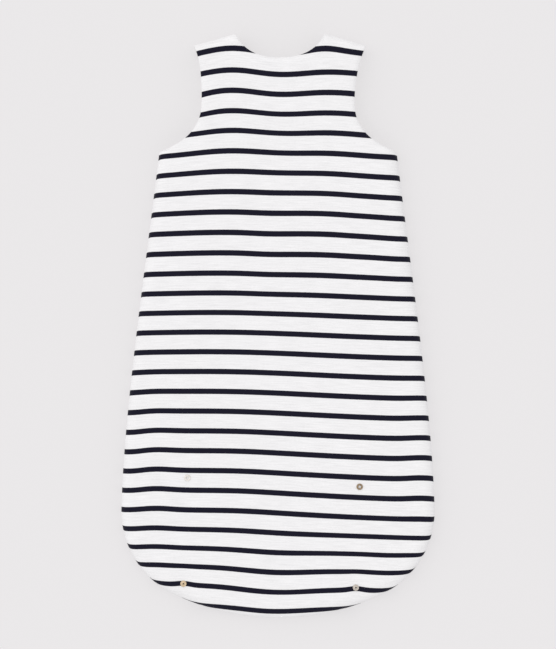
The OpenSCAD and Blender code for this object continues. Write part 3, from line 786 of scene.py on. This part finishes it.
def plastic(name, color):
    """Moulded polyacetal with a faint grain."""
    g = Graph(name, color, 0.35, specular=0.5)
    uv = g.uv()
    grain = g.noise(uv, 90, 4.0)
    shade = g.grey(g.spread(grain, 0.95, 1.0, 0.3, 0.7))
    g.link("Base Color", g.mix(1.0, (*color, 1), shade, "MULTIPLY"))
    g.link("Roughness", g.spread(grain, 0.28, 0.46, 0.3, 0.7))
    g.relief(grain, 0.03, 0.5)
    return g.material


def glowing_floor(name, color):
    """Translucent floor of a light table."""
    g = Graph(name, tuple(c * (1 - FLOOR_GLOW) for c in color), 0.95, specular=0.0)
    g.shader.inputs["Emission Color"].default_value = (*color, 1)
    g.shader.inputs["Emission Strength"].default_value = FLOOR_STRENGTH
    return g.material


STRIPED = jersey("shell_jersey", WHITE_JERSEY, True)
LINING = jersey("lining_jersey", (0.87, 0.865, 0.85), False)
WADDING = fleece("wadding", (0.86, 0.87, 0.88))
TAPE = woven("zip_tape", (0.84, 0.84, 0.84), 26, 30, 0.12)
SATIN = woven("label_satin", (0.86, 0.86, 0.87), 60, 24, 0.05)
PATCH = woven("patch_cloth", (0.82, 0.82, 0.81), 30, 30, 0.1)
THREAD = woven("thread", (0.88, 0.88, 0.87), 90, 90, 0.04)
PLASTIC = plastic("zip_plastic", (0.84, 0.84, 0.84))
STEEL = metal("slider_metal", (0.72, 0.72, 0.7), (0.5, 0.49, 0.47), 0.3)
PALE = metal("pale_metal", (0.57, 0.52, 0.47), (0.37, 0.33, 0.29), 0.32)
GOLD = metal("gold_metal", (0.66, 0.52, 0.36), (0.45, 0.33, 0.2), 0.24)
# Paler copy of the pale metal, for the upper left socket only: a painted highlight, not a metal of its own
PALE_METAL_PAINTED_HIGHLIGHT = metal("pale_metal_painted_highlight", (0.83, 0.79, 0.745), (0.72, 0.68, 0.63), 0.4)
BRONZE = metal("bronze_metal", (0.34, 0.25, 0.16), (0.16, 0.11, 0.07), 0.34)


# ---------------------------------------------------------------- camera, light and floor

def make_camera():
    """Straight above the bag, at the photograph's framing."""
    frame_height_mm, distance_mm, centre_y = 778.8, 4000.0, 1.56
    data = bpy.data.cameras.new("camera")
    data.sensor_width = 36.0
    data.lens = data.sensor_width * distance_mm / frame_height_mm
    data.clip_end = 100
    camera = bpy.data.objects.new("camera", data)
    camera.location = (0, centre_y * MM, (distance_mm + MID_Z) * MM)
    bpy.context.scene.collection.objects.link(camera)
    bpy.context.scene.camera = camera


def make_light():
    """One broad soft light from the upper left over an even surround."""
    surround, sun_energy, sun_angle = 0.89, 0.66, 80
    aim = (0.55, -0.5, -1.0)
    scene = bpy.context.scene
    scene.view_settings.view_transform = "Standard"
    world = bpy.data.worlds.new("world")
    world.use_nodes = True
    background = world.node_tree.nodes["Background"]
    background.inputs[0].default_value = (1.0, 1.0, 1.0, 1)
    background.inputs[1].default_value = surround
    scene.world = world
    data = bpy.data.lights.new("key", "SUN")
    data.energy = sun_energy
    data.angle = math.radians(sun_angle)
    data.color = (1.0, 0.995, 0.985)
    light = bpy.data.objects.new("key", data)
    light.rotation_euler = Vector(aim).to_track_quat("-Z", "Y").to_euler()
    scene.collection.objects.link(light)


def make_floor():
    """Wide floor a little below the lowest cloth."""
    half, level, cells = 30000.0, -0.8, 8
    line = cells + 1
    steps = np.linspace(-half, half, line)
    x, y = np.meshgrid(steps, steps)
    points = np.column_stack([x.ravel(), y.ravel(), np.full(x.size, level)])
    a = (np.arange(cells)[:, None] * line + np.arange(cells)).ravel()
    faces = np.column_stack([a, a + 1, a + line + 1, a + line]).tolist()
    floor = mesh_object("floor", points, faces, glowing_floor("floor", FLOOR_COLOR))


make_camera()
make_light()
make_floor()


# ---------------------------------------------------------------- cloth layers


def bend_with_hem(obj):
    """Bakes a layer's placement into its mesh."""
    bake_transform(obj)


def cloth_layer(name, panel, outer, material, seed, striped):
    """One layer of one panel, across the fold line. The back lies above the middle, the front below."""
    points, far, near, edge = panel.layer(outer)
    if striped:
        ease = relief(points, edge, seed)
        if panel.side == 0:
            dip, free = snap_dimples(points)
            ease = ease * free + dip
        ease *= np.clip(edge[:, 0] / 3, 0, 1)
        if panel.side:
            ease = np.minimum(ease, 0.0)
    else:
        ease = 0.15 * smooth_noise(points, 60, seed) * np.clip(edge[:, 0] / 6, 0, 1)
    far, near = far + ease, near + ease
    upper, lower = (MID_Z + far, MID_Z + near) if panel.side == 0 else (MID_Z - near, MID_Z - far)
    extra = wall_extra(edge[:, 0], CLOSED[1][0], LEVELS[0] - CLOSED[2][0])
    cloth = points - edge[:, 1:3] * extra[:, None]
    uv = striped_uv(cloth, panel.side == 0) if striped else cloth / PITCH
    return cloth_mesh(name, panel.grid.shape[:2], points, upper, lower, material, uv=uv)


FINE, COARSE = 1.0, 0.5
FINE_BACK = Panel(0, FINE)
FINE_FRONTS = {hand: Panel(side, FINE) for hand, side in HANDS}
COARSE_BACK = Panel(0, COARSE)
COARSE_FRONTS = {hand: Panel(side, COARSE) for hand, side in HANDS}


def make_panel_layers(part, fine, coarse):
    """Shell, wadding and lining of one panel."""
    shell = cloth_layer(f"{part}_jersey", fine, 0, STRIPED, 2.1 + fine.side, True)
    wadding = cloth_layer(f"{part}_padding", coarse, 2, WADDING, 5.3 + fine.side, False)
    lining = cloth_layer(f"{part}_inner_jersey", coarse, 4, LINING, 8.7 + fine.side, False)
    layers = (
        (shell, "shell", "shell_jersey"),
        (wadding, "wadding", "wadding"),
        (lining, "lining", "lining_jersey"),
    )
    for obj, layer, slot in layers:
        bend_with_hem(obj)
        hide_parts(f"{part}_{layer}", f"hem_{part}_{layer}")


make_panel_layers("back", FINE_BACK, COARSE_BACK)
for hand, _ in HANDS:
    make_panel_layers(f"front_{hand}", FINE_FRONTS[hand], COARSE_FRONTS[hand])


# ---------------------------------------------------------------- zip

def strip_grid(x_values, y_values):
    """Shape and points of a grid with straight rows and columns."""
    x, y = np.meshgrid(x_values, y_values)
    return x.shape, np.column_stack([x.ravel(), y.ravel()])


def make_tape(hand, side):
    """Woven tape that carries one row of teeth."""
    inner, outer, low, high, half = 2.7, 13.0, -223.0, 255.0, 0.3
    x_values = np.sort(side * np.linspace(inner, outer, 9))
    shape, points = strip_grid(x_values, np.linspace(low, high, 170))
    middle = TAPE_Z + 0.06 * smooth_noise(points, 14, 1.7)
    tape = cloth_mesh(f"zip_tape_{hand}_woven", shape, points, middle + half, middle - half, TAPE, 0.1)
    return tape


def make_teeth(hand, side):
    """Moulded teeth on the inner edge of one tape."""
    pitch, root, head, depth, size = 2.5, 2.75, 0.38, 1.25, 8
    first, last = ZIP_FOOT + 5.2, ZIP_TOP - 4.2
    offset = 0 if side < 0 else pitch / 2
    # Sections of one tooth: distance from the middle, half width, share of the depth
    profile = ((root, 0.55, 0.62), (2.3, 0.62, 1.0), (1.5, 0.5, 0.92), (0.9, 0.72, 1.0), (head, 0.5, 0.8))
    angles = (np.arange(size) + 0.5) * 2 * math.pi / size
    parts = []
    for y in np.arange(first + offset, last, pitch):
        loops = []
        for x, half_y, grow in profile if side < 0 else profile[::-1]:
            tooth_y = y + half_y * 1.08 * np.cos(angles)
            tooth_z = TAPE_Z + depth * grow * np.sin(angles)
            loops.append(np.column_stack([np.full(size, side * x), tooth_y, tooth_z]))
        parts.append(loft(loops))
    points, faces = merged(parts)
    return mesh_object(f"zip_teeth_{hand}_moulded", points, faces, PLASTIC)


def make_stops():
    """Crimped stops: one at the top of each row of teeth, and one across both rows at the foot."""
    inner, outer, half_y, half_z = 0.65, 2.9, 1.5, 1.65
    top = {}
    for hand, side in HANDS:
        start = (side * inner, ZIP_TOP - half_y, TAPE_Z)
        end = (side * outer, ZIP_TOP - half_y, TAPE_Z)
        low, high = (end, start) if side < 0 else (start, end)
        stop = bar(low, high, 0, half_y, half_z, size=16)
        top[hand] = mesh_object(f"zip_top_stop_{hand}_crimped", *stop, PLASTIC)
    width, length, corner, half = 5.4, 4.0, 0.8, 1.7
    foot = rounded_outline((0, ZIP_FOOT + length / 2), width, length, corner)
    foot = slab(foot, TAPE_Z - half, TAPE_Z + half, 0.45)
    return top, mesh_object("zip_bottom_stop_crimped", *foot, PLASTIC)


def make_slider():
    """Two plates round the teeth, joined by a bridge, with side flanges and a crown that holds the pull."""
    width, length, corner, plate, channel, edge = 8.8, 11.6, 2.4, 0.95, 1.45, 0.28
    outline = rounded_outline((0, SLIDER_Y), width, length, corner, taper=0.16)
    parts = []
    for low in (TAPE_Z - channel - plate, TAPE_Z + channel):
        parts.append(slab(outline, low, low + plate, edge))
    bridge = (0, SLIDER_Y + 1, TAPE_Z), (0, SLIDER_Y + 5, TAPE_Z)
    parts.append(bar(*bridge, 1, 0.3, channel + 0.05))
    sunk, flange_x = 0.12, width / 2 - 0.42
    for _, side in HANDS:
        for z in (TAPE_Z - channel + sunk, TAPE_Z + channel - sunk):
            x = side * flange_x
            parts.append(bar((x * 0.9, SLIDER_Y - 3.6, z), (x, SLIDER_Y + 3.8, z), 1, 0.36, 0.3))
    crown_y, crown_top, crown_depth, crown_half, crown_thick = 1.75, 3.25, 2.35, 1.1, 0.32
    crown = []
    for t in even(14):
        angle = math.pi * t
        arch = crown_depth * math.sin(angle) ** 0.7
        crown.append((PULL_Y - crown_y * math.cos(angle), crown_top - arch))
    parts.append(ribbon(crown, -crown_half, crown_half, crown_thick))
    points, faces = merged(parts)
    return mesh_object("zip_slider_cast", points, faces, STEEL)


def make_pull():
    """Flat tab with an eye at its end, on two arms whose pins turn in the crown."""
    length, arm_outer, arm_inner, half, eye_r, count = 21.0, 2.6, 1.4, 0.6, 1.2, 56
    edge = 0.2
    eye_y = PULL_Y - length + arm_outer
    neck_y = PULL_Y - 4
    angles = np.linspace(0, 2 * math.pi, count, endpoint=False)
    outline = []
    for a in angles:
        x, y = math.cos(a), math.sin(a)
        if y <= 0:
            reach = arm_outer
        else:
            reach = min(arm_outer / max(abs(x), 1e-6), (neck_y - eye_y) / y)
        outline.append((reach * x, eye_y + reach * y))
    outline = np.array(outline)
    waist = 1 - 0.16 * bump(outline[:, 1], (eye_y + neck_y) / 2 + 2, 5)
    outline[:, 0] *= waist
    eye = circle((0, eye_y), eye_r, count)
    inner, outer_eye = circle((0, eye_y), eye_r + edge, count), inset_outline(outline, edge)
    low, high = PULL_Z - half, PULL_Z + half
    loops = [
        at_height(eye, high - edge), at_height(eye, low + edge),
        at_height(inner, low), at_height(outer_eye, low),
        at_height(outline, low + edge), at_height(outline, high - edge),
        at_height(outer_eye, high), at_height(inner, high),
    ]
    parts = [loft(loops, "ring")]
    middle = (arm_outer + arm_inner) / 2
    for side in (-1, 1):
        x = side * middle
        parts.append(bar((x, PULL_Y - 4.6, PULL_Z), (x, PULL_Y + 0.7, PULL_Z), 1, 0.56, half * 0.98))
    pin_x, pin_r = arm_outer - 0.3, 0.55
    parts.append(bar((-pin_x, PULL_Y, PULL_Z), (pin_x, PULL_Y, PULL_Z), 0, pin_r, pin_r, size=20))
    points, faces = merged(parts)
    return mesh_object("zip_pull_cast", points, faces, STEEL)


def make_guard():
    """Soft strip of lining behind the zip."""
    sewn, free, low, high, half = 7.35, 8.8, -232, 248, 0.4
    across = np.array([-28, -24, -20, -17, -14, -11, -6, -1, 4, 9, 13, 15.0])
    level = np.interp(across, [-28, -20, -11, 15], [sewn, sewn, free, free])
    shape, points = strip_grid(across, np.linspace(low, high, 120))
    z = np.tile(level, shape[0]) + 0.12 * smooth_noise(points, 30, 4.4)
    guard = cloth_mesh("zip_guard_jersey", shape, points, z + half, z - half, LINING, 0.25)
    return guard


def make_garage():
    """Folded tab over the upper ends of the tapes."""
    low, high, front, back, half_width, half = 3.6, 7.5, 251.6, 267.6, 7.2, 0.38
    radius, depth = (high - low) / 2, 1.5
    path = [(y, low) for y in np.linspace(front, back, 8)]
    for a in np.radians(np.arange(20, 161, 20)):
        path.append((back + depth * math.sin(a), low + radius - radius * math.cos(a)))
    path += [(y, high) for y in np.linspace(back, front, 8)]
    garage = mesh_object("zip_garage_jersey", *ribbon(path, -half_width, half_width, half), STRIPED)
    return garage


def make_stitches():
    """Top-stitching beside the zip, on the outer face of the front."""
    length, gap, inset, half_x, half_z = 2.5, 1.0, 2.6, 0.22, 0.2
    parts = []
    for hand, side in HANDS:
        panel = FINE_FRONTS[hand]
        ys = np.arange(OPENING_FOOT + 3, HALF_L - FRONT_NECK_DEPTH - 10, length + gap)
        points = np.column_stack([np.full(len(ys), side * (ZIP_EDGE + inset)), ys + length / 2])
        edges = (panel.open, panel.zipped, panel.seamed, panel.closed)
        level = MID_Z - height(0, [closest(points, lines)[:, 0] for lines in edges])
        for (x, y), z in zip(points, level):
            ends = (x, y - length / 2, z), (x, y + length / 2, z)
            parts.append(bar(*ends, 1, half_x, half_z, size=6, edge=0.5))
    points, faces = merged(parts)
    return mesh_object("zip_topstitching", points, faces, THREAD)


teeth = {hand: make_teeth(hand, side) for hand, side in HANDS}
tapes = {hand: make_tape(hand, side) for hand, side in HANDS}
top_stops, bottom_stop = make_stops()
guard, garage, stitches = make_guard(), make_garage(), make_stitches()
slider, pull = make_slider(), make_pull()

# Pieces that ride one body: piece, body, node it stands for, slot
RIDERS = [
    (slider, "slider", "zip_slider", "slider_metal"),
    (pull, "pull", "zip_pull", "slider_metal"),
    (bottom_stop, "bag", "zip_bottom_stop", "zip_plastic"),
    (guard, "bag", "zip_guard", "lining_jersey"),
    (garage, "bag", "zip_garage", "shell_jersey"),
]
for hand, _ in HANDS:
    RIDERS.append((teeth[hand], "bag", f"zip_teeth_{hand}", "zip_plastic"))
    RIDERS.append((tapes[hand], "bag", f"zip_tape_{hand}", "zip_tape"))
    RIDERS.append((top_stops[hand], "bag", f"zip_top_stop_{hand}", "zip_plastic"))
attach(stitches, "bag")


# ---------------------------------------------------------------- snaps

# Sections turned about the snap's axis, as (radius, height)
SOCKET = (
    (1.75, 0.0), (3.72, 0.0), (3.8, 0.12), (3.8, 0.45), (3.7, 0.85), (3.45, 1.14), (3.1, 1.25),
    (2.8, 1.16), (2.6, 1.02), (2.4, 1.02), (2.22, 1.16), (2.02, 1.3), (1.86, 1.25), (1.75, 1.05),
)
STUD = (
    (0.8, 0.0), (3.72, 0.0), (3.8, 0.1), (3.8, 0.3), (3.66, 0.56), (3.4, 0.74), (3.05, 0.78),
    (2.7, 0.66), (2.4, 0.62), (2.1, 0.74), (1.8, 0.84), (1.62, 0.9), (1.56, 1.1), (1.62, 1.45),
    (1.66, 1.62), (1.58, 1.88), (1.36, 2.04), (1.08, 2.04), (0.86, 1.92), (0.8, 1.7),
)
RING = (
    (2.2, 0.0), (3.7, 0.0), (3.8, 0.1), (3.8, 0.5), (3.7, 0.6), (2.98, 0.6),
    (2.95, 0.7), (2.95, 2.1), (2.85, 2.2), (2.3, 2.2), (2.2, 2.1),
)
PATCH_RING = (
    (3.05, 0), (3.6, 0), (4.2, 0), (4.7, 0), (4.8, 0.15),
    (4.7, 0.3), (4.2, 0.3), (3.6, 0.3), (3.05, 0.3),
)
CAP_LIFT = 0.03
RING_DROP = 2.2
PATCH_DROP = 1.57
# Metal of each snap; the upper left socket's paler copy of the pale metal is a painted highlight
SNAP_FINISH_AND_PAINTED_HIGHLIGHT = {
    ("left", True): (PALE_METAL_PAINTED_HIGHLIGHT, "pale_metal"), ("right", True): (BRONZE, "bronze_metal"),
    ("left", False): (GOLD, "gold_metal"), ("right", False): (PALE, "pale_metal"),
}
for hand, centre, is_socket in snap_places():
    body = "bag" if is_socket else "hem"
    kind = "socket" if is_socket else "stud"
    level = "upper" if is_socket else "lower"
    finish, slot_name = SNAP_FINISH_AND_PAINTED_HIGHLIGHT[hand, is_socket]
    cap = lathe(centre, SOCKET if is_socket else STUD, TOP_Z + CAP_LIFT)
    ring = lathe(centre, RING, TOP_Z - RING_DROP)
    patch = lathe(centre, PATCH_RING, TOP_Z - PATCH_DROP)
    cap = mesh_object(f"snap_{kind}_{hand}_cap", *cap, finish)
    ring = mesh_object(f"snap_{kind}_{hand}_back", *ring, finish)
    patch = mesh_object(f"snap_patch_{level}_{hand}_cloth", *patch, PATCH)
    RIDERS.append((cap, body, f"snap_{kind}_{hand}", slot_name))
    RIDERS.append((ring, body, f"snap_{kind}_ring_{hand}", slot_name))
    RIDERS.append((patch, body, f"snap_patch_{level}_{hand}", "patch_cloth"))


# ---------------------------------------------------------------- labels

def make_label(name, node):
    """Blank satin label with its lower edge curling a little off the lining."""
    curl, curl_reach, half = 0.5, 6, 0.28
    low, high = (np.array(c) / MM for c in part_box(node))
    x_values = np.linspace(low[0], high[0], 25)
    y_values = np.linspace(low[1], high[1], 21)
    shape, points = strip_grid(x_values, y_values)
    lowest_end = np.clip(1 - (points[:, 1] - low[1]) / curl_reach, 0, 1)
    z = (low[2] + high[2]) / 2 - curl * lowest_end**2 + 0.05 * smooth_noise(points, 7, 6.2)
    label = cloth_mesh(name, shape, points, z + half, z - half, SATIN, 0.1)
    return label


for node, size in (("neck_label", (0.04, 0.02)), ("care_label", (0.03, 0.04))):
    RIDERS.append((make_label(node + "_satin", node), "bag", node, "label_satin"))

for obj, body, node, slot_name in RIDERS:
    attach(obj, body)
    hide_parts(node)
